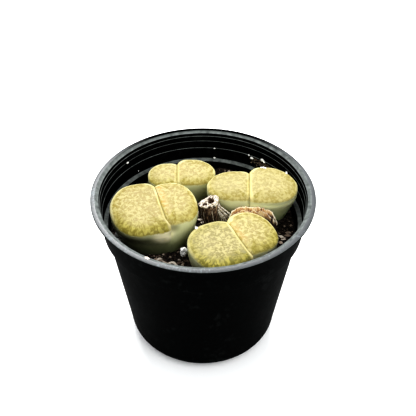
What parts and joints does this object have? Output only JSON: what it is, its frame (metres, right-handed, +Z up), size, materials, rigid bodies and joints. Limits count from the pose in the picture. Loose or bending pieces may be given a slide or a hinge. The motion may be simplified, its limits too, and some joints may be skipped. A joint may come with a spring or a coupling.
{
  "type": "potted lithops",
  "caption": "Two-lobed stone-like succulent heads with a mottled pale yellow face, set in dark gritty soil in a small black tapered plastic pot with a flat lip.",
  "frame": {"origin": "middle of the pot's foot, on the surface that the pot stands on", "axes": "+Z up along the pot's axis, -Y towards the front of the pot as in the picture, +X to its right"},
  "size_m": [0.09, 0.09, 0.073],
  "materials": {
    "pot_plastic": "moulded black polypropylene, satin",
    "potting_soil": "moist peat with bark chips and white perlite",
    "lithops_skin": "waxy, pale yellow face mottled with tan, grey-green sides",
    "dry_leaf": "dry papery leaf, pinkish tan with a cream torn edge",
    "dry_stalk": "dry fibrous stalk, brown with a bleached rim"
  },
  "bodies": {
    "root": {"pot": "pot_plastic", "soil": "potting_soil", "lithops_head_left": "lithops_skin", "lithops_head_back": "lithops_skin", "lithops_head_right": "lithops_skin", "lithops_head_front": "lithops_skin", "dry_leaf_sheath": "dry_leaf", "dried_flower_stalk": "dry_stalk"}
  },
  "joints": []
}
